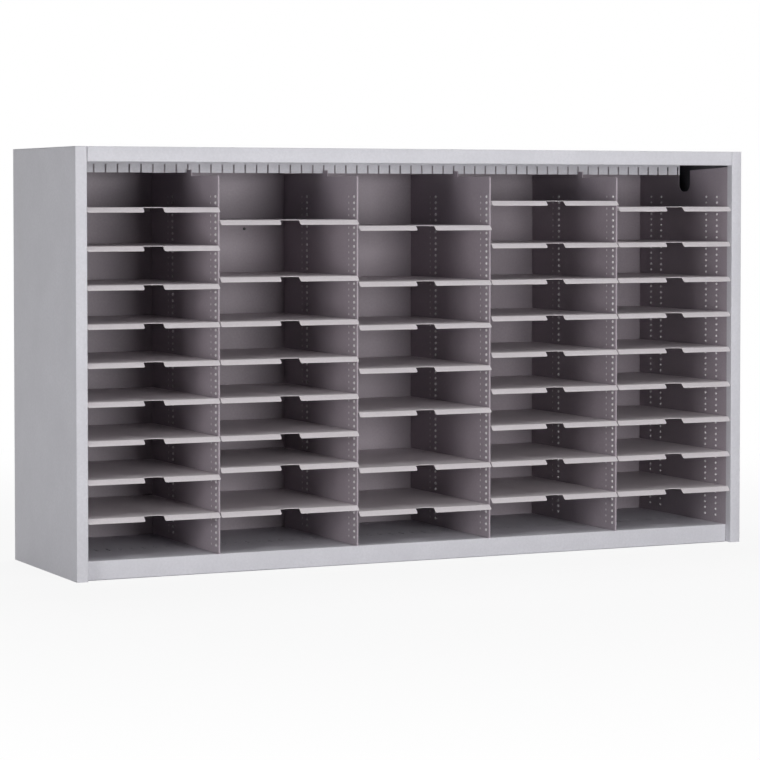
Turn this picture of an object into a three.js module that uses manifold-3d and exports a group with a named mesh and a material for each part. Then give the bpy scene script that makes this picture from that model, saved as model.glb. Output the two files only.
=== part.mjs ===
// Pigeonhole mail sorter: a folded steel case split into bays by dividers that stand in a comb rail,
// with sheet shelves that rest on pressed studs and draw out forwards.
// Millimetres, +Z up, front towards -Y, origin on the floor under the middle of the case.

import * as THREE from 'three';
import { mergeGeometries, mergeVertices } from 'three/addons/utils/BufferGeometryUtils.js';
import Module from 'manifold-3d';

const wasm = await Module();
wasm.setup();

// Case
const caseWidth = 1524;
const caseDepth = 391;
const caseHeight = 851;
const caseSheet = 1.2;
const backSheet = 1;
const uprightWidth = 24;
const uprightReturn = 19;
const sideRearFlange = 20;
const topRailHeight = 30;
const topRailReturn = 18;
const baseSetback = 19;
const baseRailHeight = 38;
const baseRailReturn = 30;

// Bays, comb rail and the slots that the dividers stand in
const bayCount = 5;
const slotPitch = 25.4;
const slotsPerBay = 12;
const slotWidth = 3.2;
const slotHeight = 17;
const combSheet = 1.5;
const combSetback = 181;
const combDrop = 49;
const combFlange = 30;
const combEndGap = 21.5;

// Dividers
const dividerSheet = 2;
const dividerSetback = 12.5;
const dividerRearGap = 1;
const dividerHemWidth = 3.4;
const dividerHemDepth = 8;
const dividerHeadroom = 7;
const dividerRearRise = 1;
const tabAhead = 20;
const tabBehind = 10;
const tabRise = 6;
const tabFoot = 12;

// End liners
const linerRise = 10;
const linerFall = 6;
const linerNotchWidth = 47;
const linerNotchDepth = 47;
const linerNotchAhead = 8;
const linerNotchRadius = 18;

// Rows of studs: row numbers count up from the deck, and the rows fill the height of a divider
const studRows = 56;
const rowOffset = 4;
const studTopMargin = 41.8;
const studRadius = 2.7;
const studHeight = 3;
const dividerStudFront = 13;
const dividerStudRear = 124;
const dividerStudShift = 28;
const linerStudFront = 40;
const linerStudRear = 51;
const linerStudSpacing = 43.5;

// Shelves
const shelfRows = [
  [54, 48, 42, 36, 30, 24, 18, 12, 6],
  [52, 43, 36, 30, 24, 18, 13, 6],
  [51, 42, 35, 28, 21, 12, 5],
  [55, 48, 42, 36, 30, 24, 18, 12, 6],
  [54, 48, 42, 36, 30, 24, 18, 12, 6],
];
const shelfSheet = 1;
const shelfRearGap = 2;
const shelfRearFlange = 10;
const lipLength = 13.5;
const lipAngle = Math.PI / 4;
const lipCorner = 3;
const notchWidth = 42;
const notchDepth = 9;

// Fixing holes through the back panel, in slots from the middle of the case and in rows of studs
const fixingHoles = [{ slot: -9.7, row: 50.6 }, { slot: 14.4, row: 9.5 }];
const fixingHoleRadius = 2.5;

// Clearances
const seatGap = 0.3;
const lipGap = 1.5;

// Planes that several pieces share
const frontY = -caseDepth / 2;
const backY = caseDepth / 2;
const linerFace = caseWidth / 2 - uprightWidth;
const skinInside = caseWidth / 2 - caseSheet - seatGap;
const topUnderside = caseHeight - caseSheet;
const deckTop = baseRailHeight;
const deckFront = frontY + baseSetback;
const backFace = backY - caseSheet - seatGap - backSheet;
const combY = frontY + combSetback;
const combBottom = caseHeight - combDrop;
const dividerFront = frontY + dividerSetback;
const dividerRear = backFace - dividerRearGap;
const dividerTop = combBottom - dividerHeadroom;
const dividerRearTop = combBottom + dividerRearRise;
const linerFront = frontY + uprightReturn + seatGap;
const linerRear = backFace - seatGap;
const linerTop = combBottom + linerRise;
const bayPitch = slotPitch * slotsPerBay;
const dividerX = Array.from({ length: bayCount - 1 }, (_, i) => (i - bayCount / 2 + 1) * bayPitch);
const rowPitch = (dividerTop - studTopMargin - deckTop - rowOffset) / studRows;
const rowHeight = (row) => deckTop + rowOffset + row * rowPitch;
const shelfHeight = (row) => rowHeight(row) + studRadius + seatGap + shelfSheet;

// Axes for extrusions: a (y, z) outline run along X, and an (x, z) outline run towards -Y
const alongX = new THREE.Matrix4().makeBasis(
  new THREE.Vector3(0, 1, 0), new THREE.Vector3(0, 0, 1), new THREE.Vector3(1, 0, 0));
const towardsFront = new THREE.Matrix4().makeBasis(
  new THREE.Vector3(1, 0, 0), new THREE.Vector3(0, 0, 1), new THREE.Vector3(0, -1, 0));

function toSolid(geometry) {
  const bare = geometry.clone();
  bare.deleteAttribute('normal');
  bare.deleteAttribute('uv');
  const merged = mergeVertices(bare, 1e-4);
  const vertProperties = new Float32Array(merged.attributes.position.array);
  const triVerts = new Uint32Array(merged.index.array);
  return new wasm.Manifold(new wasm.Mesh({ numProp: 3, vertProperties, triVerts }));
}

function toGeometry(solid) {
  const mesh = solid.getMesh();
  const geometry = new THREE.BufferGeometry();
  geometry.setAttribute('position', new THREE.BufferAttribute(new Float32Array(mesh.vertProperties), 3));
  geometry.setIndex(new THREE.BufferAttribute(new Uint32Array(mesh.triVerts), 1));
  geometry.computeVertexNormals();
  return geometry;
}

const join = (geometries) => toGeometry(geometries.map(toSolid).reduce((whole, next) => whole.add(next)));

function block(x, y, z) {
  const geometry = new THREE.BoxGeometry(x[1] - x[0], y[1] - y[0], z[1] - z[0]);
  return geometry.translate((x[0] + x[1]) / 2, (y[0] + y[1]) / 2, (z[0] + z[1]) / 2);
}

function extrude(shape, depth, curveSegments = 3) {
  return new THREE.ExtrudeGeometry(shape, { depth, curveSegments, bevelEnabled: false });
}

// A bent sheet's section: the path runs along its outer face and the thickness lies to the path's left
function foldedSheet(path, thickness) {
  const points = path.map(([u, v]) => new THREE.Vector2(u, v));
  const lefts = points.slice(1).map((point, i) => {
    const run = point.clone().sub(points[i]).normalize();
    return new THREE.Vector2(-run.y, run.x);
  });
  const inner = points.map((point, i) => {
    const before = lefts[Math.max(i - 1, 0)];
    const after = lefts[Math.min(i, lefts.length - 1)];
    const reach = thickness / (1 + before.dot(after));
    return point.clone().addScaledVector(before, reach).addScaledVector(after, reach);
  });
  return new THREE.Shape([...points, ...inner.reverse()]);
}

const mirrored = (path) => path.map(([u, v]) => [-u, v]).reverse();

// Side panel: outer skin, front upright with its return, and rear flange, under the edge of the top
function sidePanel(side) {
  const path = [
    [linerFace, frontY + uprightReturn],
    [linerFace, frontY],
    [caseWidth / 2, frontY],
    [caseWidth / 2, backY],
    [caseWidth / 2 - sideRearFlange, backY],
  ];
  const section = foldedSheet(side < 0 ? mirrored(path) : path, caseSheet);
  return extrude(section, topUnderside - seatGap);
}

// One pressed stud on a wall whose face is at x, raised towards the given side
function stud(x, y, z, side) {
  const rooted = studHeight + caseSheet / 2;
  const corner = studRadius / Math.cos(Math.PI / 6);
  const geometry = new THREE.CylinderGeometry(corner, corner, rooted, 6, 1, false, Math.PI / 6);
  geometry.rotateZ(Math.PI / 2);
  return geometry.translate(x + side * (studHeight - rooted / 2), y, z);
}

// Depths of the stud columns on a divider's left and right faces, and on an end liner
const dividerStudColumns = (side) => {
  const shift = side < 0 ? 0 : dividerStudShift;
  return [dividerFront + dividerStudFront + shift, dividerRear - dividerStudRear + shift];
};
const linerStudColumns = [
  linerFront + linerStudFront,
  linerFront + linerStudFront + linerStudSpacing,
  linerRear - linerStudRear - linerStudSpacing,
  linerRear - linerStudRear,
];

function studs(x, side, columns, rows) {
  return rows.flatMap((row) => columns.map((y) => stud(x, y, rowHeight(row), side)));
}

// End liner: inner wall with flanges to the skin and studs, whose top edge falls from the front to a round-ended
// notch by the comb and runs level behind it
function liner(side, rows) {
  const path = [
    [skinInside, linerRear],
    [linerFace, linerRear],
    [linerFace, linerFront],
    [skinInside, linerFront],
  ];
  const roughTop = linerTop + linerFall + caseSheet;
  const wall = extrude(foldedSheet(side < 0 ? mirrored(path) : path, caseSheet), roughTop);
  const y0 = combY - linerNotchAhead;
  const y1 = y0 + linerNotchWidth;
  const bottom = linerTop - linerNotchDepth;
  const ahead = linerFront - caseSheet;
  const fallRate = linerFall / (y0 - linerFront);
  const waste = new THREE.Shape();
  waste.moveTo(ahead, linerTop + linerFall + fallRate * caseSheet);
  waste.lineTo(y0, linerTop);
  waste.lineTo(y0, bottom + linerNotchRadius);
  waste.absarc(y0 + linerNotchRadius, bottom + linerNotchRadius, linerNotchRadius, Math.PI, 1.5 * Math.PI);
  waste.absarc(y1 - linerNotchRadius, bottom + linerNotchRadius, linerNotchRadius, 1.5 * Math.PI, 2 * Math.PI);
  waste.lineTo(y1, linerTop);
  waste.lineTo(linerRear + caseSheet, linerTop);
  waste.lineTo(linerRear + caseSheet, roughTop + caseSheet);
  waste.lineTo(ahead, roughTop + caseSheet);
  const reach = skinInside - linerFace + 4 * caseSheet;
  const cutter = extrude(waste, reach, 4).applyMatrix4(alongX);
  cutter.translate(side * (linerFace + skinInside) / 2 - reach / 2, 0, 0);
  const pieces = [wall, ...studs(side * linerFace, -side, linerStudColumns, rows)];
  return toGeometry(pieces.map(toSolid).reduce((whole, next) => whole.add(next)).subtract(toSolid(cutter)));
}

// Top panel: a sheet that laps over the sides, with a front rail between the uprights and a rear flange
function topPanel() {
  const sheet = block([-caseWidth / 2, caseWidth / 2], [frontY, backY], [topUnderside, caseHeight]);
  const section = foldedSheet([
    [backY, caseHeight - topRailHeight],
    [backY, caseHeight],
    [frontY, caseHeight],
    [frontY, caseHeight - topRailHeight],
    [frontY + topRailReturn, caseHeight - topRailHeight],
  ], caseSheet);
  const length = 2 * (linerFace - seatGap);
  const rail = extrude(section, length).applyMatrix4(alongX).translate(-length / 2, 0, 0);
  return join([sheet, rail]);
}

// Positions of the comb slots, which the slots in the deck repeat
const combHalfLength = linerFace - combEndGap;
const slotReach = Math.floor((combHalfLength - slotWidth) / slotPitch);
const slotX = Array.from({ length: 2 * slotReach + 1 }, (_, i) => (i - slotReach) * slotPitch);

// Comb rail: an angle under the top whose hanging leg is slotted from below
function combRail() {
  const top = topUnderside - seatGap;
  const leg = new THREE.Shape();
  leg.moveTo(-combHalfLength, combBottom);
  for (const x of slotX) {
    leg.lineTo(x - slotWidth / 2, combBottom);
    leg.lineTo(x - slotWidth / 2, combBottom + slotHeight);
    leg.lineTo(x + slotWidth / 2, combBottom + slotHeight);
    leg.lineTo(x + slotWidth / 2, combBottom);
  }
  leg.lineTo(combHalfLength, combBottom);
  leg.lineTo(combHalfLength, top);
  leg.lineTo(-combHalfLength, top);
  const face = extrude(leg, combSheet).applyMatrix4(towardsFront).translate(0, combY + combSheet, 0);
  const flange = block([-combHalfLength, combHalfLength], [combY, combY + combFlange], [top - combSheet, top]);
  return join([face, flange]);
}

// Base panel: slotted deck, set back behind the uprights, with a front rail, its return on the floor, and a
// rear flange
function basePanel() {
  const half = linerFace - seatGap;
  const section = foldedSheet([
    [backY, 0],
    [backY, deckTop],
    [deckFront, deckTop],
    [deckFront, 0],
    [deckFront + baseRailReturn, 0],
  ], caseSheet);
  const pan = extrude(section, 2 * half).applyMatrix4(alongX).translate(-half, 0, 0);
  const slots = slotX.map((x) => block(
    [x - slotWidth / 2, x + slotWidth / 2],
    [combY - tabAhead - seatGap, combY + tabBehind + seatGap],
    [deckTop - 2 * caseSheet, deckTop + caseSheet],
  ));
  return toGeometry(toSolid(pan).subtract(toSolid(mergeGeometries(slots))));
}

// Back panel: a flat sheet against the rear flanges, above the deck, with two small fixing holes
function backPanel() {
  const outline = new THREE.Shape();
  outline.moveTo(-skinInside, 0);
  outline.lineTo(-linerFace, 0);
  outline.lineTo(-linerFace, deckTop + seatGap);
  outline.lineTo(linerFace, deckTop + seatGap);
  outline.lineTo(linerFace, 0);
  outline.lineTo(skinInside, 0);
  outline.lineTo(skinInside, topUnderside - seatGap);
  outline.lineTo(-skinInside, topUnderside - seatGap);
  for (const { slot, row } of fixingHoles) {
    const hole = new THREE.Path();
    hole.absarc(slot * slotPitch, rowHeight(row), fixingHoleRadius, 0, 2 * Math.PI);
    outline.holes.push(hole);
  }
  return extrude(outline, backSheet, 4).applyMatrix4(towardsFront).translate(0, backFace + backSheet, 0);
}

// Divider: a sheet with a hemmed front edge, taller from its tab in the comb back to the rear, with a foot
// through the deck and studs on both faces
function divider(x, rowsOnLeft, rowsOnRight) {
  const bottom = deckTop + seatGap;
  const thickness = [x - dividerSheet / 2, x + dividerSheet / 2];
  const tabFront = combY - tabAhead;
  const tabRear = combY + tabBehind;
  const outline = new THREE.Shape();
  outline.moveTo(dividerFront, bottom);
  outline.lineTo(tabFront, bottom);
  outline.lineTo(tabFront, deckTop - tabFoot);
  outline.lineTo(tabRear, deckTop - tabFoot);
  outline.lineTo(tabRear, bottom);
  outline.lineTo(dividerRear, bottom);
  outline.lineTo(dividerRear, dividerRearTop);
  outline.lineTo(tabRear, dividerRearTop);
  outline.lineTo(tabRear, combBottom + tabRise);
  outline.lineTo(tabFront, combBottom + tabRise);
  outline.lineTo(tabFront, dividerTop);
  outline.lineTo(dividerFront, dividerTop);
  const sheet = extrude(outline, dividerSheet).applyMatrix4(alongX).translate(thickness[0], 0, 0);
  const hemWidth = [x - dividerHemWidth / 2, x + dividerHemWidth / 2];
  const hem = block(hemWidth, [dividerFront, dividerFront + dividerHemDepth], [bottom, dividerTop]);
  const onLeft = studs(thickness[0], -1, dividerStudColumns(-1), rowsOnLeft);
  const onRight = studs(thickness[1], 1, dividerStudColumns(1), rowsOnRight);
  return join([sheet, hem, ...onLeft, ...onRight]);
}

// One half of a shelf's lip, from its outer end to the notch, as an outline in the lip's own plane
function lipHalf(outerX, notchX, side) {
  const half = new THREE.Shape();
  half.moveTo(outerX, 0);
  half.lineTo(notchX, 0);
  half.lineTo(notchX, lipLength - lipCorner);
  half.quadraticCurveTo(notchX, lipLength, notchX + side * lipCorner, lipLength);
  half.lineTo(outerX - side * lipCorner, lipLength);
  half.quadraticCurveTo(outerX, lipLength, outerX, lipLength - lipCorner);
  half.closePath();
  return half;
}

// Shelf: flat with a shallow round notch, a split lip sloping down and forward, and a rear flange
function shelf(flatX, lipX) {
  const bendY = dividerFront - seatGap - shelfSheet;
  const rearY = dividerRear - shelfRearGap;
  const middle = (lipX[0] + lipX[1]) / 2;
  const notchX = [middle - notchWidth / 2, middle + notchWidth / 2];
  const radius = (notchWidth ** 2 / 4 + notchDepth ** 2) / (2 * notchDepth);
  const rise = radius - notchDepth;
  const start = Math.atan2(rise, -notchWidth / 2);
  const end = Math.atan2(rise, notchWidth / 2);
  const outline = new THREE.Shape();
  outline.moveTo(flatX[0], bendY);
  outline.absarc(middle, bendY - rise, radius, start, end, true);
  outline.lineTo(flatX[1], bendY);
  outline.lineTo(flatX[1], rearY);
  outline.lineTo(flatX[0], rearY);
  const flat = extrude(outline, shelfSheet, 4).translate(0, 0, -shelfSheet);
  const lipPlane = new THREE.Matrix4().makeBasis(
    new THREE.Vector3(1, 0, 0),
    new THREE.Vector3(0, -Math.sin(lipAngle), -Math.cos(lipAngle)),
    new THREE.Vector3(0, Math.cos(lipAngle), -Math.sin(lipAngle)));
  const lips = [-1, 1].map((side, i) => {
    const plate = extrude(lipHalf(lipX[i], notchX[i], side), shelfSheet, 2);
    return plate.applyMatrix4(lipPlane).translate(0, bendY, 0);
  });
  const inset = studHeight + lipGap;
  const flangeX = [flatX[0] + inset, flatX[1] - inset];
  const flange = block(flangeX, [rearY - shelfSheet, rearY], [-shelfRearFlange, -shelfSheet / 2]);
  return join([flat, ...lips, flange]);
}

const sorter = new THREE.Group();

function place(name, geometry, color, z = 0) {
  const material = new THREE.MeshStandardMaterial({ color, roughness: 0.5, metalness: 0.1 });
  const mesh = new THREE.Mesh(geometry, material);
  mesh.name = name;
  mesh.position.z = z;
  sorter.add(mesh);
}

const casePaint = 0xc9c8cf;
const innerPaint = 0xb3b0b5;
const shelfPaint = 0xcdc9ce;

place('left_side_panel', sidePanel(-1), casePaint);
place('right_side_panel', sidePanel(1), casePaint);
place('left_end_liner', liner(-1, shelfRows[0]), innerPaint);
place('right_end_liner', liner(1, shelfRows[bayCount - 1]), innerPaint);
place('top_panel', topPanel(), casePaint);
place('comb_rail', combRail(), shelfPaint);
place('base_panel', basePanel(), casePaint);
place('back_panel', backPanel(), innerPaint);
dividerX.forEach((x, i) => {
  place(`divider_${i + 1}`, divider(x, shelfRows[i], shelfRows[i + 1]), innerPaint);
});

shelfRows.forEach((rows, bay) => {
  const hemFace = dividerHemWidth / 2 + seatGap;
  const atLeftEnd = bay === 0;
  const atRightEnd = bay === bayCount - 1;
  const flatX = [
    atLeftEnd ? seatGap - linerFace : dividerX[bay - 1] + hemFace,
    atRightEnd ? linerFace - seatGap : dividerX[bay] - hemFace,
  ];
  const lipX = [
    atLeftEnd ? lipGap / 2 - linerFace : dividerX[bay - 1] + lipGap / 2,
    atRightEnd ? linerFace - lipGap / 2 : dividerX[bay] - lipGap / 2,
  ];
  const geometry = shelf(flatX, lipX);
  rows.forEach((row, i) => {
    place(`bay_${bay + 1}_shelf_${i + 1}`, geometry, shelfPaint, shelfHeight(row));
  });
});

export default sorter;
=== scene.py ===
import math

import bmesh
import bpy
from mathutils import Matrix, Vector


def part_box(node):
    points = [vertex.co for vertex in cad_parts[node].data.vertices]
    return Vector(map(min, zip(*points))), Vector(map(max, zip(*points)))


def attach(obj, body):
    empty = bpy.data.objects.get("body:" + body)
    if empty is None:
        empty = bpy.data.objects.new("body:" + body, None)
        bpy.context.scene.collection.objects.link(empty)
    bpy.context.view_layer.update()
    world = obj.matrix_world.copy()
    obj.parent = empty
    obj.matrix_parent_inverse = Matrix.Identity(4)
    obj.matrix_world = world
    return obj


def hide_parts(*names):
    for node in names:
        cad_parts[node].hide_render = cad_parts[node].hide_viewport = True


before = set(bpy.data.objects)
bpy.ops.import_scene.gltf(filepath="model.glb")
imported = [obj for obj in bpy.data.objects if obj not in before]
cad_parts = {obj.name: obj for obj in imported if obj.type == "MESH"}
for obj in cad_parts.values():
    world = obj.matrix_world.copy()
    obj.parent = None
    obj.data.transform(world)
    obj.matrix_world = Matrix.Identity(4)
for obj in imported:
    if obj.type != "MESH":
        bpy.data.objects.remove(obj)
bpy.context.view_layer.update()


# Side panels: the two outer skins of the case, each one piece of 1.2 mm cold-rolled sheet steel.
# A press brake folds the front upright with its return and a flange at the rear, and the sheet
# is welded under the overhanging edge of the top and sprayed light grey.
MM = 0.001
hair = 0.01 * MM
case_sheet = 1.2 * MM
upright_return = 19 * MM
side_rear_flange = 20 * MM
fold_radius = 1.6 * MM


def blank(name, low, high):
    """Adds a flat sheet blank between two opposite corners that share one coordinate."""
    bpy.ops.object.select_all(action="DESELECT")
    low, high = Vector(low), Vector(high)
    size = high - low
    turn, spread = (0, 0, 0), (size.x, size.y, 1)
    if size.x == 0:
        turn, spread = (0, math.pi / 2, 0), (size.z, size.y, 1)
    elif size.y == 0:
        turn, spread = (math.pi / 2, 0, 0), (size.x, size.z, 1)
    bpy.ops.mesh.primitive_plane_add(size=1, location=(low + high) / 2, rotation=turn)
    bpy.context.object.scale = spread
    bpy.ops.object.transform_apply(location=True, rotation=True, scale=True)
    bpy.context.object.name = bpy.context.object.data.name = name
    return bpy.context.object


def choose(kind, where):
    """Selects, in edit mode, the corners, edges or faces whose every corner lies where asked."""
    bpy.ops.mesh.select_mode(type=kind)
    bpy.ops.mesh.select_all(action="DESELECT")
    mesh = bmesh.from_edit_mesh(bpy.context.object.data)
    for item in {"VERT": mesh.verts, "EDGE": mesh.edges, "FACE": mesh.faces}[kind]:
        corners = [item] if kind == "VERT" else item.verts
        item.select_set(all(where(corner.co) for corner in corners))
    mesh.select_flush_mode()
    bmesh.update_edit_mesh(bpy.context.object.data)


def near(a, b):
    """Tells whether two coordinates are the same, within a hair."""
    return abs(a - b) < hair


def fold(x=0, y=0, z=0):
    """Draws the chosen edges of a sheet out into the next leaf of the fold."""
    bpy.ops.mesh.extrude_edges_move(TRANSFORM_OT_translate={"value": (x, y, z)})


def round_folds(radius):
    """Rounds the chosen edges as the press brake's tool does."""
    bpy.ops.mesh.bevel(offset=radius, segments=4, affect="EDGES", profile=0.5)


def face_outwards():
    """Turns all faces of the piece in edit mode the same way, outwards."""
    bpy.ops.mesh.select_all(action="SELECT")
    bpy.ops.mesh.normals_make_consistent(inside=False)


def thicken(sheet, thickness, offset=-1, edge=0.25 * MM):
    """Ends a folded sheet: gives it thickness, on the inner side of its faces, and dulls its cut edges."""
    face_outwards()
    bpy.ops.object.mode_set(mode="OBJECT")
    body = sheet.modifiers.new("thickness", "SOLIDIFY")
    body.thickness = thickness
    body.offset = offset
    body.use_even_offset = True
    dulled = sheet.modifiers.new("dulled edges", "BEVEL")
    dulled.width = edge
    dulled.segments = 1
    dulled.limit_method = "ANGLE"
    dulled.angle_limit = math.radians(75)
    for step in ("thickness", "dulled edges"):
        bpy.ops.object.modifier_apply(modifier=step)


def linear(hex_colour):
    """An sRGB hex colour as the linear colour that a shader takes."""
    parts = [int(hex_colour[i:i + 2], 16) / 255 for i in (1, 3, 5)]
    return [p / 12.92 if p <= 0.04045 else ((p + 0.055) / 1.055) ** 2.4 for p in parts] + [1]


def add(tree, kind, links=(), **settings):
    """Adds a shader node, sets its sockets and properties, and links other nodes' outputs into it."""
    node = tree.nodes.new(kind)
    for key, value in settings.items():
        if hasattr(node, key):
            setattr(node, key, value)
        else:
            node.inputs[key.replace("_", " ")].default_value = value
    for source, output, socket in links:
        tree.links.new(source.outputs[output], node.inputs[socket])
    return node


# Satin grey enamel, sprayed on steel and stoved: a close, slightly rippled skin that breaks up its
# soft highlight, with a faint drift in tone over a hand's width where the coat is thicker.
# The ripple is about 1 mm on the real coat and is drawn at 4 mm so that it shows. On the studs, a
# painted highlight turns the crowns to a paler tone.
drift_size, fleck_size, ripple_size = 110 * MM, 4.5 * MM, 4 * MM
ripple_height = 0.15 * MM


def coating(name, thick, thin, roughness, painted_highlight=None):
    """Makes a sprayed coat from its tones where thick and thin, its roughness and the paler tone of its
    painted highlight.
    """
    paint = bpy.data.materials.new(name)
    paint.use_nodes = True
    tree = paint.node_tree
    shader = tree.nodes["Principled BSDF"]
    shader.inputs["IOR"].default_value = 1.5
    shader.inputs["Metallic"].default_value = 0
    place = add(tree, "ShaderNodeTexCoord")
    at_place = [(place, "Object", "Vector")]
    drift = add(tree, "ShaderNodeTexNoise", at_place, Scale=1 / drift_size, Detail=3.0, Roughness=0.55)
    fleck = add(tree, "ShaderNodeTexNoise", at_place, Scale=1 / fleck_size, Detail=2.0)
    blend = add(tree, "ShaderNodeMath", [(drift, "Fac", 0), (fleck, "Fac", 1)], operation="MULTIPLY_ADD")
    blend.inputs[2].default_value = 0.12
    coat = add(tree, "ShaderNodeValToRGB", [(blend, "Value", "Fac")])
    coat.color_ramp.elements[0].position = 0.22
    coat.color_ramp.elements[0].color = linear(thick)
    coat.color_ramp.elements[1].position = 0.55
    coat.color_ramp.elements[1].color = linear(thin)
    tree.links.new(coat.outputs["Color"], shader.inputs["Base Color"])
    if painted_highlight:
        # Painted highlight: where the attribute is set, the coat turns towards the paler highlight tone.
        crowns = add(tree, "ShaderNodeAttribute", attribute_name="painted_highlight")
        highlighted = add(tree, "ShaderNodeMix", [(crowns, "Fac", "Factor")], data_type="RGBA")
        tree.links.new(coat.outputs["Color"], highlighted.inputs[6])
        highlighted.inputs[7].default_value = linear(painted_highlight)
        tree.links.new(highlighted.outputs[2], shader.inputs["Base Color"])
    gloss = add(tree, "ShaderNodeMapRange", [(fleck, "Fac", "Value")],
                To_Min=roughness - 0.05, To_Max=roughness + 0.07)
    tree.links.new(gloss.outputs["Result"], shader.inputs["Roughness"])
    ripple = add(tree, "ShaderNodeTexNoise", at_place, Scale=1 / ripple_size, Detail=1.0)
    skin = add(tree, "ShaderNodeBump", [(ripple, "Fac", "Height")], Strength=0.12, Distance=ripple_height)
    tree.links.new(skin.outputs["Normal"], shader.inputs["Normal"])
    return paint


# The case's own coat is a cool light grey, the dullest of the enamels, so that broad faces stay even.
case_enamel = coating("light grey stoved enamel on case steel", "#c9c8ce", "#d3d2d8", 0.52)


def take_up(piece):
    """Makes a piece the only selected one."""
    bpy.ops.object.select_all(action="DESELECT")
    piece.select_set(True)
    bpy.context.view_layer.objects.active = piece


def coat_faces(piece, paint, where):
    """Puts a further coat on the faces of a piece whose every corner lies where asked."""
    take_up(piece)
    piece.data.materials.append(paint)
    piece.active_material_index = len(piece.data.materials) - 1
    bpy.ops.object.mode_set(mode="EDIT")
    choose("FACE", where)
    bpy.ops.object.material_slot_assign()
    bpy.ops.object.mode_set(mode="OBJECT")


def hand_over(piece, node, body="case"):
    """Smooths a finished piece's folds, puts it on its body and lets it stand for its CAD node."""
    take_up(piece)
    bpy.ops.object.shade_smooth_by_angle(angle=math.radians(35))
    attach(piece, body)
    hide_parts(node)


def mirrored(piece, name):
    """Copies a finished piece to the other end of the case, with its faces still outwards."""
    take_up(piece)
    bpy.ops.object.duplicate()
    twin = bpy.context.object
    twin.name = twin.data.name = name
    twin.scale.x = -1
    bpy.ops.object.transform_apply(scale=True)
    bpy.ops.object.mode_set(mode="EDIT")
    face_outwards()
    bpy.ops.object.mode_set(mode="OBJECT")
    return twin


low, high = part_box("right_side_panel")
front, back = low.y, high.y
upright_edge = low.x
right_skin = blank("right_side_skin", (high.x, front, low.z), (high.x, back, high.z))
bpy.ops.object.mode_set(mode="EDIT")
choose("EDGE", lambda p: near(p.y, front))
fold(x=upright_edge - high.x)
fold(y=upright_return)
choose("EDGE", lambda p: near(p.y, back))
fold(x=-side_rear_flange)
for width, depth in ((high.x, front), (upright_edge, front), (high.x, back)):
    choose("EDGE", lambda p: near(p.x, width) and near(p.y, depth))
    round_folds(fold_radius)
thicken(right_skin, case_sheet)
right_skin.data.materials.append(case_enamel)

# Painted shade: the inside of the skin behind the liner is coated a dull, dark grey so that the gap seen
# through the liner's notch stays as dark as shade.
painted_shade_coat = coating("dark painted shade inside case steel", "#5c5d61", "#68696d", 0.7)
coat_faces(right_skin, painted_shade_coat, lambda p: near(p.x, high.x - case_sheet))
left_skin = mirrored(right_skin, "left_side_skin")
hand_over(right_skin, "right_side_panel")
hand_over(left_skin, "left_side_panel")


# End liners: the inner walls of the end bays, of the same sheet, behind the uprights and flanged out
# to the skin at front and rear. Four columns of studs, pressed through the sheet every half inch,
# carry the shelves, and a round-ended notch in the top edge clears the hands that set the comb's end.
stud_rows = 56
row_pitch = 12.7 * MM
row_datum = 42 * MM
first_row = row_datum + row_pitch
cell_width = 10 * MM
cell_margin = 3 * MM
stud_rim = 3.2 * MM


def repeat(piece, step, count, merge=True):
    """Repeats the active piece at even steps, and grows the copies into one sheet where they touch."""
    row = piece.modifiers.new("row", "ARRAY")
    row.use_relative_offset = False
    row.use_constant_offset = True
    row.constant_offset_displace = step
    row.count = count
    row.use_merge_vertices = merge
    row.merge_threshold = 5 * hair
    bpy.ops.object.modifier_apply(modifier="row")


def stud_column(base, shoulder, height, mouth):
    """Presses one stud in a square of sheet, with a painted highlight round its mouth and on its crown,
    and repeats it up a column.
    """
    bpy.ops.object.select_all(action="DESELECT")
    bpy.ops.mesh.primitive_plane_add(size=1)
    column = bpy.context.object
    column.scale = (cell_width, row_pitch, 1)
    bpy.ops.object.transform_apply(location=True, rotation=True, scale=True)
    bpy.ops.object.mode_set(mode="EDIT")
    bpy.ops.mesh.subdivide(number_cuts=1)
    bpy.ops.mesh.select_mode(type="FACE")
    bpy.ops.mesh.select_all(action="SELECT")
    bpy.ops.mesh.inset(thickness=cell_margin, use_boundary=True)
    square = bmesh.from_edit_mesh(column.data)
    for corner in (v for v in square.verts if v.select and v.co.length > MM):
        corner.co = corner.co.normalized() * stud_rim
    bmesh.update_edit_mesh(column.data)
    for rise, narrow in ((0, base / stud_rim), (0.8, shoulder / base), (0.2, 0.6)):
        bpy.ops.mesh.extrude_region_move(TRANSFORM_OT_translate={"value": (0, 0, rise * height)})
        bpy.ops.transform.resize(value=(narrow, narrow, 1))
    # Painted highlight: the whole stud gets the mouth share of the paler tone, and its crown all of it.
    bpy.ops.geometry.attribute_add(name="painted_highlight", domain="POINT", data_type="FLOAT")
    for highlight_share, level in ((mouth, -height), (1, 0.5 * height)):
        choose("VERT", lambda p: p.z > level and p.xy.length < base + 0.1 * MM)
        bpy.ops.mesh.attribute_set(value_float=highlight_share)
    bpy.ops.object.mode_set(mode="OBJECT")
    repeat(column, (0, row_pitch, 0), stud_rows)
    return column


def join_up(pieces, name):
    """Joins pieces into the first of them."""
    bpy.ops.object.select_all(action="DESELECT")
    for piece in pieces:
        piece.select_set(True)
    whole = pieces[0]
    bpy.context.view_layer.objects.active = whole
    bpy.ops.object.join()
    whole.name = whole.data.name = name
    return whole


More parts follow.
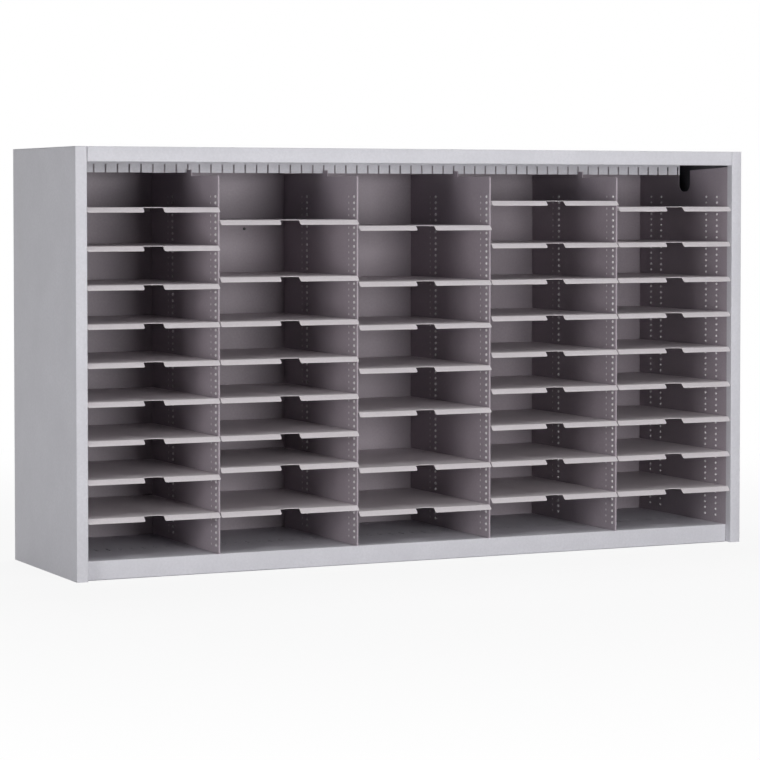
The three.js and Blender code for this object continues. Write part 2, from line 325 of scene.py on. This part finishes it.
def studded_wall(name, x, columns, base, shoulder, height, mouth):
    """Stands columns of studs at their depths, each raised to its side, and joins them into one sheet."""
    pattern = stud_column(base, shoulder, height, mouth)
    upright = []
    for depth, side in columns:
        take_up(pattern)
        bpy.ops.object.duplicate()
        column = bpy.context.object
        column.rotation_euler = (math.pi / 2, 0, side * math.pi / 2)
        column.location = (x, depth, first_row)
        bpy.ops.object.transform_apply(location=True, rotation=True, scale=True)
        upright.append(column)
    bpy.data.objects.remove(pattern)
    wall = join_up(upright, name)
    bpy.ops.object.mode_set(mode="EDIT")
    for (ahead, _), (behind, _) in zip(columns, columns[1:]):
        edges = (ahead + cell_width / 2, behind - cell_width / 2)
        choose("EDGE", lambda p: near(p.y, edges[0]) or near(p.y, edges[1]))
        bpy.ops.mesh.bridge_edge_loops()
    return wall


def widen(depths, heights, columns):
    """Draws a studded wall out to its front, rear, foot and top edges."""
    ahead, behind = columns[0][0] - cell_width / 2, columns[-1][0] + cell_width / 2
    foot, top = first_row - row_pitch / 2, first_row + (stud_rows - 0.5) * row_pitch
    choose("EDGE", lambda p: near(p.y, ahead))
    fold(y=depths[0] - ahead)
    choose("EDGE", lambda p: near(p.y, behind))
    fold(y=depths[1] - behind)
    choose("EDGE", lambda p: near(p.z, foot))
    fold(z=heights[0] - foot)
    choose("EDGE", lambda p: near(p.z, top))
    fold(z=heights[1] - top)


def score(place, across, **waste):
    """Marks a line of edges over the whole sheet in edit mode, and drops one side of it if asked."""
    bpy.ops.mesh.select_all(action="SELECT")
    bpy.ops.mesh.bisect(plane_co=place, plane_no=across, **waste)


def cut_away(piece, cutter):
    """Cuts the cutter's shape out of a piece."""
    take_up(piece)
    cut = piece.modifiers.new("cut", "BOOLEAN")
    cut.operation = "DIFFERENCE"
    cut.solver = "EXACT"
    cut.object = cutter
    bpy.ops.object.modifier_apply(modifier="cut")
    bpy.data.objects.remove(cutter)


stud_height = 3 * MM
liner_stud, liner_shoulder = 2.75 * MM, 2.3 * MM
liner_column_front, liner_column_rear, liner_column_gap = 40 * MM, 51 * MM, 43.5 * MM
liner_fall = 6 * MM
notch_ahead = 8 * MM
notch_width = 47 * MM
notch_depth = 47 * MM
notch_radius = 18 * MM
cutter_reach = 10 * MM
comb_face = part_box("comb_rail")[0].y
notch_front = comb_face - notch_ahead
low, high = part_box("right_end_liner")
liner_face = low.x + stud_height
liner_top = high.z - liner_fall
liner_columns = [
    (low.y + liner_column_front, -1),
    (low.y + liner_column_front + liner_column_gap, -1),
    (high.y - liner_column_rear - liner_column_gap, -1),
    (high.y - liner_column_rear, -1),
]
right_liner = studded_wall(
    "right_liner_wall", liner_face, liner_columns, liner_stud, liner_shoulder, stud_height, mouth=0.2)
widen((low.y, high.y), (low.z, liner_top), liner_columns)
score((0, notch_front, 0), (0, 1, 0))
mesh = bmesh.from_edit_mesh(right_liner.data)
for corner in mesh.verts:
    if near(corner.co.z, liner_top) and corner.co.y < notch_front:
        corner.co.z += liner_fall * (notch_front - corner.co.y) / (notch_front - low.y)
bmesh.update_edit_mesh(right_liner.data)
choose("EDGE", lambda p: near(p.y, low.y))
fold(x=high.x - liner_face)
choose("EDGE", lambda p: near(p.y, high.y) and near(p.x, liner_face))
fold(x=high.x - liner_face)
for depth in (low.y, high.y):
    choose("EDGE", lambda p: near(p.y, depth) and near(p.x, liner_face))
    round_folds(fold_radius)
thicken(right_liner, case_sheet)

notch_middle = notch_front + notch_width / 2
bpy.ops.object.select_all(action="DESELECT")
bpy.ops.mesh.primitive_cube_add(size=1, location=(liner_face, notch_middle, liner_top))
notch_cutter = bpy.context.object
notch_cutter.scale = (cutter_reach, notch_width, 2 * notch_depth)
bpy.ops.object.transform_apply(location=True, rotation=True, scale=True)
bpy.ops.object.mode_set(mode="EDIT")
choose("EDGE", lambda p: p.z < liner_top and not near(p.y, notch_middle))
mesh = bmesh.from_edit_mesh(notch_cutter.data)
for edge in mesh.edges:
    edge.select_set(edge.select and near(edge.verts[0].co.y, edge.verts[1].co.y))
bmesh.update_edit_mesh(notch_cutter.data)
bpy.ops.mesh.bevel(offset=notch_radius, segments=8, affect="EDGES", profile=0.5)
bpy.ops.object.mode_set(mode="OBJECT")
cut_away(right_liner, notch_cutter)

# Painted shade: the inner walls' coat is the case's grey made warmer and darker, so the pale painted
# highlights on the studs stand out.
painted_shade_inner_enamel = coating("grey enamel darkened as painted shade on inner steel", "#a1979f", "#aca2aa", 0.5, painted_highlight="#e8e5e6")
right_liner.data.materials.append(painted_shade_inner_enamel)
left_liner = mirrored(right_liner, "left_liner_wall")
hand_over(right_liner, "right_end_liner")
hand_over(left_liner, "left_end_liner")


# Base panel: the slotted deck that the bays stand on, of 1.2 mm sheet folded down into a front rail
# with a return on the floor and into a rear flange. It is welded between the end walls, behind the
# uprights' returns.
slot_pitch = 25.4 * MM
slot_width = 3.2 * MM
slot_count = 57
first_slot = -(slot_count - 1) / 2 * slot_pitch


def slotted_row(name, low, high, slot_low, slot_high):
    """Punches one slot in a strip of blank one pitch wide and repeats the strip along the comb's slots."""
    strip = blank(name, low, high)
    bpy.ops.object.mode_set(mode="EDIT")
    for axis in range(3):
        if low[axis] == high[axis]:
            continue
        for cut in (slot_low[axis], slot_high[axis]):
            plane = Vector((0, 0, 0))
            plane[axis] = 1
            score(plane * cut, plane)
    inside = [(a - hair, b + hair) for a, b in zip(slot_low, slot_high)]
    choose("FACE", lambda p: all(a < c < b for c, (a, b) in zip(p, inside)))
    bpy.ops.mesh.delete(type="FACE")
    bpy.ops.object.mode_set(mode="OBJECT")
    repeat(strip, (slot_pitch, 0, 0), slot_count)
    bpy.ops.object.mode_set(mode="EDIT")
    return strip


seat_gap = 0.3 * MM
base_return = 30 * MM
tab_ahead, tab_behind = 20 * MM, 10 * MM
tab_front, tab_rear = comb_face - tab_ahead, comb_face + tab_behind
deck_low, deck_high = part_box("base_panel")
deck, deck_front = deck_high.z, deck_low.y
tray = slotted_row(
    "base_deck",
    (first_slot - slot_pitch / 2, deck_front, deck), (first_slot + slot_pitch / 2, back, deck),
    (first_slot - slot_width / 2, tab_front - seat_gap, deck),
    (first_slot + slot_width / 2, tab_rear + seat_gap, deck))
row_end = -first_slot + slot_pitch / 2
for side in (-1, 1):
    choose("EDGE", lambda p: near(p.x, side * row_end))
    fold(x=side * (deck_high.x - row_end))
choose("EDGE", lambda p: near(p.y, deck_front))
fold(z=-deck)
fold(y=base_return)
choose("EDGE", lambda p: near(p.y, back))
fold(z=-deck)
for depth, height in ((deck_front, deck), (deck_front, 0), (back, deck)):
    choose("EDGE", lambda p: near(p.y, depth) and near(p.z, height))
    round_folds(fold_radius)
thicken(tray, case_sheet)
tray.data.materials.append(case_enamel)
hand_over(tray, "base_panel")


# Back panel: one flat 1 mm sheet laid against the rear flanges from inside, with its two lower corners
# running down past the deck to the floor and two small fixing holes, and spot-welded all round.
back_sheet = 1 * MM
hole_radius = 2.5 * MM
hole_places = [(-9.7, 49.6), (14.4, 8.5)]


def round_bar(sides, radius, length, middle):
    """Adds a round bar that lies along the depth of the case."""
    bpy.ops.object.select_all(action="DESELECT")
    bpy.ops.mesh.primitive_cylinder_add(
        vertices=sides, radius=radius, depth=length, location=middle, rotation=(math.pi / 2, 0, 0))
    bpy.ops.object.transform_apply(location=True, rotation=True, scale=True)
    return bpy.context.object


low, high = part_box("back_panel")
back_plane = (low.y + high.y) / 2
back_wall = blank("rear_back", (low.x, back_plane, deck), (high.x, back_plane, high.z))
bpy.ops.object.mode_set(mode="EDIT")
for side in (-1, 1):
    score((side * liner_face, 0, 0), (1, 0, 0))
for side in (-1, 1):
    choose("EDGE", lambda p: p.z < deck + MM and side * p.x > liner_face - hair)
    fold(z=-deck)
thicken(back_wall, back_sheet, offset=0)
fixing_holes = [(slot * slot_pitch, first_row + row * row_pitch) for slot, row in hole_places]
for x, z in fixing_holes:
    cut_away(back_wall, round_bar(20, hole_radius, cutter_reach, (x, high.y, z)))
# Painted shade: the back's inner face takes the darker inner coat, and its outer face the case's own grey.
back_wall.data.materials.append(painted_shade_inner_enamel)
coat_faces(back_wall, case_enamel, lambda p: near(p.y, high.y))
hand_over(back_wall, "back_panel")


# Fixing screws: two round-headed steel screws, black as painted shade for the dark of the fixing holes,
# driven through the back's fixing holes from inside. Each is turned from bar, with a shank through the
# sheet and a low domed head.
shank_radius, shank_length = 2.3 * MM, 3 * MM
head_radius, head_height = 3.1 * MM, 1.4 * MM
# The screws' black is painted shade; a thin hard coat, the glossiest here, so that the heads keep a small
# highlight.
painted_shade_black = coating("black painted shade on screw heads", "#232225", "#2d2c2f", 0.4)
for number, (x, z) in enumerate(fixing_holes, start=1):
    screw = round_bar(20, shank_radius, shank_length, (x, low.y + shank_length / 2, z))
    screw.name = screw.data.name = f"fixing_screw_{number}"
    bpy.ops.object.mode_set(mode="EDIT")
    choose("FACE", lambda p: near(p.y, low.y))
    for rise, spread in ((0, head_radius / shank_radius), (0.5, 1), (0.35, 0.8), (0.15, 0.6)):
        bpy.ops.mesh.extrude_region_move(TRANSFORM_OT_translate={"value": (0, -rise * head_height, 0)})
        bpy.ops.transform.resize(value=(spread, 1, spread), center_override=(x, low.y, z))
    bpy.ops.object.mode_set(mode="OBJECT")
    bpy.ops.object.shade_smooth_by_angle(angle=math.radians(50))
    screw.data.materials.append(painted_shade_black)
    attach(screw, "case")


# Comb rail: an angle of 1.5 mm sheet hung under the top, well back from the front. Its hanging leg is
# punched from below with a slot every inch, and the dividers' tabs stand up into the slots.
comb_sheet = 1.5 * MM
slot_height = 17 * MM
low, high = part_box("comb_rail")
comb_foot = low.z
comb = slotted_row(
    "comb_angle",
    (first_slot - slot_pitch / 2, low.y, low.z), (first_slot + slot_pitch / 2, low.y, high.z),
    (first_slot - slot_width / 2, low.y, low.z), (first_slot + slot_width / 2, low.y, low.z + slot_height))
for side in (-1, 1):
    score((side * high.x, 0, 0), (side, 0, 0), clear_outer=True)
choose("EDGE", lambda p: near(p.z, high.z))
fold(y=high.y - low.y)
choose("EDGE", lambda p: near(p.z, high.z) and near(p.y, low.y))
round_folds(fold_radius)
thicken(comb, comb_sheet)
comb.data.materials.append(case_enamel)
hand_over(comb, "comb_rail")


# Top panel: the lid of the case, of 1.2 mm sheet that laps over the side panels. Between the uprights
# it is folded down into the front rail, whose lower edge returns inwards, and into a flange at the rear.
# A narrow gap is left between the rail's ends and the uprights.
top_rail = 30 * MM
top_return = 18 * MM
rail_gap = 0.8 * MM
low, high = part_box("top_panel")
rail_end = deck_high.x - rail_gap
lid = blank("case_top", (low.x, low.y, high.z), (high.x, high.y, high.z))
bpy.ops.object.mode_set(mode="EDIT")
for side in (-1, 1):
    score((side * rail_end, 0, 0), (1, 0, 0))
choose("EDGE", lambda p: near(p.y, front) and abs(p.x) < rail_end + hair)
fold(z=-top_rail)
fold(y=top_return)
choose("EDGE", lambda p: near(p.y, back) and abs(p.x) < rail_end + hair)
fold(z=-top_rail)
for depth, height in ((front, high.z), (front, high.z - top_rail), (back, high.z)):
    choose("EDGE", lambda p: near(p.y, depth) and near(p.z, height) and abs(p.x) < rail_end + hair)
    round_folds(fold_radius)
thicken(lid, case_sheet)
lid.data.materials.append(case_enamel)
hand_over(lid, "top_panel")


# Spot welds: the round marks that the electrodes leave along the rear flanges, where the top and the
# sides hold the back panel. Each is a shallow dimple with a slight rim, pressed into the steel before
# it was sprayed.
weld_radius, weld_rise = 3.2 * MM, 0.25 * MM
weld_rim, weld_slope = 0.5 * MM, 0.7 * MM
top_weld_pitch, top_welds = 100 * MM, 15
side_weld_pitch, side_welds, side_weld_foot = 92.5 * MM, 9, 60 * MM
weld_line = high.x - side_rear_flange / 2
first_top_weld = -top_weld_pitch * (top_welds - 1) / 2
weld_rows = [
    ((first_top_weld, back, high.z - top_rail / 2), (top_weld_pitch, 0, 0), top_welds),
    ((-weld_line, back, side_weld_foot), (0, 0, side_weld_pitch), side_welds),
    ((weld_line, back, side_weld_foot), (0, 0, side_weld_pitch), side_welds),
]
marks = []
for start, step, count in weld_rows:
    mark = round_bar(12, weld_radius, 2 * weld_rise, start)
    bpy.ops.object.mode_set(mode="EDIT")
    choose("FACE", lambda p: p.y > back)
    bpy.ops.mesh.inset(thickness=weld_rim)
    bpy.ops.mesh.inset(thickness=weld_slope, depth=-0.8 * weld_rise)
    bpy.ops.object.mode_set(mode="OBJECT")
    repeat(mark, step, count, merge=False)
    marks.append(mark)
welds = join_up(marks, "rear_spot_welds")
bpy.ops.object.shade_smooth_by_angle(angle=math.radians(35))
welds.data.materials.append(case_enamel)
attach(welds, "case")


# Dividers: upright sheets that make the bays, each with a hemmed, rounded front edge, a tab up into the
# comb and a foot through the deck. Of the two columns of studs near each end, one is pressed through to
# either side, so that a shelf on either side finds its own.
divider_sheet = 2 * MM
divider_stud, divider_shoulder = 1.95 * MM, 1.75 * MM
divider_column_front, divider_column_rear, divider_column_gap = 13 * MM, 124 * MM, 28 * MM
headroom, rear_rise = 7 * MM, 1 * MM
front_corner = 5 * MM
hem_swell, hem_round = 0.7 * MM, 1 * MM
low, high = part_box("divider_1")
middle = (low.x + high.x) / 2
foot, head, rear_head = deck + seat_gap, comb_foot - headroom, comb_foot + rear_rise
divider_columns = [
    (low.y + divider_column_front, -1),
    (low.y + divider_column_front + divider_column_gap, 1),
    (high.y - divider_column_rear, -1),
    (high.y - divider_column_rear + divider_column_gap, 1),
]
divider = studded_wall(
    "divider_1_wall", middle, divider_columns, divider_stud, divider_shoulder, stud_height, mouth=0.9)
widen((low.y, high.y), (foot, head), divider_columns)
for depth in (tab_front, tab_rear):
    score((0, depth, 0), (0, 1, 0))
choose("EDGE", lambda p: near(p.z, head) and p.y > tab_front - hair)
fold(z=rear_head - head)
for level, reach in ((rear_head, high.z), (foot, low.z)):
    choose("EDGE", lambda p: near(p.z, level) and tab_front - hair < p.y < tab_rear + hair)
    fold(z=reach - level)
choose("VERT", lambda p: near(p.y, low.y) and near(p.z, head))
bpy.ops.mesh.bevel(offset=front_corner, segments=4, affect="VERTICES")
thicken(divider, divider_sheet, offset=0)
bpy.ops.object.mode_set(mode="EDIT")
hem_end = divider_columns[0][0] - cell_width / 2
choose("FACE", lambda p: p.y < hem_end + hair and abs(p.x - middle) > 0.4 * divider_sheet)
bpy.ops.mesh.extrude_region_shrink_fatten(TRANSFORM_OT_shrink_fatten={"value": hem_swell})
hem_front, hem_skin = low.y + 0.4 * MM, divider_sheet / 2 + 0.5 * hem_swell
choose("EDGE", lambda p: p.y < hem_front and abs(p.x - middle) > hem_skin)
bpy.ops.mesh.bevel(offset=hem_round, segments=3, affect="EDGES", profile=0.5)
bpy.ops.object.mode_set(mode="OBJECT")
# Painted shade: the dividers take the darker inner coat.
divider.data.materials.append(painted_shade_inner_enamel)


def copied(piece, name, shift):
    """Copies a finished piece, with a mesh of its own, to another place."""
    take_up(piece)
    bpy.ops.object.duplicate()
    twin = bpy.context.object
    twin.name = twin.data.name = name
    twin.location = shift
    bpy.ops.object.transform_apply(location=True)
    return twin


stand = [-liner_face, middle]
for number in (2, 3, 4):
    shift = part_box(f"divider_{number}")[0].x - low.x
    twin = copied(divider, f"divider_{number}_wall", (shift, 0, 0))
    hand_over(twin, f"divider_{number}")
    stand.append(middle + shift)
stand.append(liner_face)
hand_over(divider, "divider_1")


# Shelves: 1 mm sheets that rest on the studs and slide out forwards. The front edge is folded down and
# forwards into a lip, split by a notch for the fingers, with rounded corners and ends that pass in front
# of the dividers. The rear edge is folded down as a stiffener.
shelf_sheet = 1 * MM
shelf_edge = 0.2 * MM
shelf_fold = 1.2 * MM
lip_run = 13.5 * MM * math.sqrt(0.5)
lip_corner = 3 * MM
lip_gap = 0.75 * MM
finger_notch = 42 * MM
finger_depth = 9 * MM
rear_flange = 10 * MM
flange_inset = 4.5 * MM
hem_clear = 2 * MM
back_clear = 2 * MM
bend = low.y - seat_gap - shelf_sheet
shelf_rear = high.y - back_clear


def shelf(name, flat, lip):
    """Models a shelf whose top lies at height nil, from the ends of its flat and of its lip."""
    sheet = blank(name, (flat[0], bend, 0), (flat[1], shelf_rear, 0))
    centre = (lip[0] + lip[1]) / 2
    notch = (centre - finger_notch / 2, centre + finger_notch / 2)
    flange = (flat[0] + flange_inset, flat[1] - flange_inset)
    bpy.ops.object.mode_set(mode="EDIT")
    for x in (*notch, *flange):
        score((x, 0, 0), (1, 0, 0))
    choose("EDGE", lambda p: near(p.y, bend) and notch[0] - hair < p.x < notch[1] + hair)
    bpy.ops.mesh.subdivide(number_cuts=11)
    mesh = bmesh.from_edit_mesh(sheet.data)
    for corner in mesh.verts:
        across = (corner.co.x - centre) / (finger_notch / 2)
        if near(corner.co.y, bend) and abs(across) < 0.999:
            corner.co.y += finger_depth * (1 - across ** 2)
    bmesh.update_edit_mesh(sheet.data)
    choose("EDGE", lambda p: near(p.y, bend))
    fold(y=-lip_run, z=-lip_run)
    lip_edge = bend - lip_run
    mesh = bmesh.from_edit_mesh(sheet.data)
    for corner in (v for v in mesh.verts if near(v.co.y, lip_edge)):
        for side in (0, 1):
            if near(corner.co.x, flat[side]):
                corner.co.x = lip[side]
    bmesh.update_edit_mesh(sheet.data)
    ends = (*lip, *notch)
    choose("VERT", lambda p: near(p.y, lip_edge) and any(near(p.x, x) for x in ends))
    bpy.ops.mesh.bevel(offset=lip_corner, segments=4, affect="VERTICES")
    choose("EDGE", lambda p: near(p.y, shelf_rear) and flange[0] - hair < p.x < flange[1] + hair)
    fold(z=-rear_flange)
    for depth in (bend, shelf_rear):
        choose("EDGE", lambda p: near(p.y, depth) and near(p.z, 0))
        mesh = bmesh.from_edit_mesh(sheet.data)
        for edge in mesh.edges:
            edge.select_set(edge.select and len(edge.link_faces) == 2)
        bmesh.update_edit_mesh(sheet.data)
        round_folds(shelf_fold)
    thicken(sheet, shelf_sheet, edge=shelf_edge)
    return sheet


# The shelves' coat is the palest grey, painted lighter than the case's grey as painted light on the lips,
# and a little glossier.
painted_light_shelf_enamel = coating("light grey enamel lightened as painted light on shelf steel", "#d8d2d5", "#e1dbde", 0.48)
bays = len(stand) - 1
for bay in range(1, bays + 1):
    left, right = stand[bay - 1], stand[bay]
    clear = (seat_gap if bay == 1 else hem_clear, seat_gap if bay == bays else hem_clear)
    pattern = shelf(
        f"bay_{bay}_pattern", (left + clear[0], right - clear[1]), (left + lip_gap, right - lip_gap))
    pattern.data.materials.append(painted_light_shelf_enamel)
    for node in (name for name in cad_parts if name.startswith(f"bay_{bay}_shelf_")):
        twin = copied(pattern, f"{node}_sheet", (0, 0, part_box(node)[1].z))
        hand_over(twin, node, body=node)
    bpy.data.objects.remove(pattern)


# Floor: a pale studio floor that runs out to white, and keeps the case's soft shadow near it and the
# dark under the deck.
floor_radius = 40
shadow_reach, white_reach = 0.8, 2.6
bpy.ops.object.select_all(action="DESELECT")
bpy.ops.mesh.primitive_circle_add(
    vertices=96, radius=floor_radius, fill_type="NGON", location=(0, 0, -0.5 * MM))
floor = bpy.context.object
floor.name = "floor"


def seen_white(tree):
    """Picks out what is seen straight on, mirrored or through a surface."""
    path = add(tree, "ShaderNodeLightPath")
    straight = [(path, "Is Camera Ray", 0), (path, "Is Glossy Ray", 1)]
    seen = add(tree, "ShaderNodeMath", straight, operation="MAXIMUM")
    through = [(seen, "Value", 0), (path, "Is Transmission Ray", 1)]
    return add(tree, "ShaderNodeMath", through, operation="MAXIMUM")


floor_white = bpy.data.materials.new("matt white studio floor")
floor_white.use_nodes = True
tree = floor_white.node_tree
tree.nodes.remove(tree.nodes["Principled BSDF"])
place = add(tree, "ShaderNodeTexCoord")
reach = add(tree, "ShaderNodeVectorMath", [(place, "Object", 0)], operation="LENGTH")
fade = add(tree, "ShaderNodeMapRange", [(reach, "Value", "Value")], interpolation_type="SMOOTHSTEP",
           From_Min=shadow_reach, From_Max=white_reach, To_Min=0.9)
seen = seen_white(tree)
share = add(tree, "ShaderNodeMath", [(seen, "Value", 0), (fade, "Result", 1)], operation="MULTIPLY")
pan = add(tree, "ShaderNodeMapping", [(place, "Object", "Vector")], vector_type="TEXTURE",
          Location=(deck_low + deck_high) / 2, Scale=(deck_high - deck_low) / 2)
spread = add(tree, "ShaderNodeVectorMath", [(pan, "Vector", 0)], operation="ABSOLUTE")
sides = add(tree, "ShaderNodeSeparateXYZ", [(spread, "Vector", "Vector")])
widest = add(tree, "ShaderNodeMath", [(sides, "X", 0), (sides, "Y", 1)], operation="MAXIMUM")
outside = add(tree, "ShaderNodeMath", [(widest, "Value", 0)], operation="GREATER_THAN")
outside.inputs[1].default_value = 1
share = add(tree, "ShaderNodeMath", [(share, "Value", 0), (outside, "Value", 1)], operation="MULTIPLY")
matt = add(tree, "ShaderNodeBsdfDiffuse", Color=linear("#e6e6e8"))
white = add(tree, "ShaderNodeEmission", Color=(1, 1, 1, 1), Strength=1.0)
mixed = add(tree, "ShaderNodeMixShader", [(share, "Value", 0), (matt, "BSDF", 1), (white, "Emission", 2)])
tree.links.new(mixed.outputs["Shader"], tree.nodes["Material Output"].inputs["Surface"])
floor.data.materials.append(floor_white)


# Light: a broad soft box in front, low enough to reach into the bays, one low on the left that grazes
# the dividers, one overhead for the lips, one behind the right corner for the back and the right side,
# one for the top, and a dim even surround. What the camera and reflections see of the surround is white.
def soft_box(name, location, target, width, height, watts):
    """Sets up a rectangular lamp that faces its target."""
    bpy.ops.object.light_add(type="AREA", location=location)
    lamp = bpy.context.object
    lamp.name = name
    lamp.data.shape = "RECTANGLE"
    lamp.data.size = width
    lamp.data.size_y = height
    lamp.data.energy = watts
    lamp.rotation_euler = (Vector(target) - Vector(location)).to_track_quat("-Z", "Y").to_euler()


soft_box("front soft box", (0.5, -4.4, 0.65), (0, 0, 0.45), 1.4, 1.2, 84)
soft_box("left soft box", (-3.9, -1.9, 0.45), (0, 0, 0.45), 1.3, 1.4, 58)
soft_box("overhead soft box", (0.4, -2.2, 3.4), (0, -0.1, 0.45), 2.0, 1.4, 28)
soft_box("rear soft box", (3.1, 3.3, 0.45), (0, 0, 0.45), 1.8, 0.8, 115)
soft_box("top soft box", (0, 0.9, 3.6), (0, 0.1, 0.85), 1.2, 1.2, 38)
world = bpy.data.worlds.new("studio surround")
bpy.context.scene.world = world
world.use_nodes = True
tree = world.node_tree
even = tree.nodes["Background"]
even.inputs["Color"].default_value = (0.95, 0.97, 1, 1)
even.inputs["Strength"].default_value = 0.06
white = add(tree, "ShaderNodeBackground", Color=(1, 1, 1, 1), Strength=1.0)
seen = seen_white(tree)
surround = add(tree, "ShaderNodeMixShader",
               [(seen, "Value", 0), (even, "Background", 1), (white, "Background", 2)])
tree.links.new(surround.outputs["Shader"], tree.nodes["World Output"].inputs["Surface"])
bpy.context.scene.view_settings.view_transform = "Standard"


# Camera: stands to the left of the case, level with its upper shelves and looking slightly down.
camera_place = (-2.5368, -5.316, 0.7453)
camera_dip, camera_turn = 0.0373, -0.4429
bpy.ops.object.camera_add(location=camera_place, rotation=(math.pi / 2 - camera_dip, 0, camera_turn))
camera = bpy.context.object
camera.data.sensor_width = 36
camera.data.lens = 131.43
camera.data.shift_y = -0.1
camera.data.clip_end = 200
bpy.context.scene.camera = camera
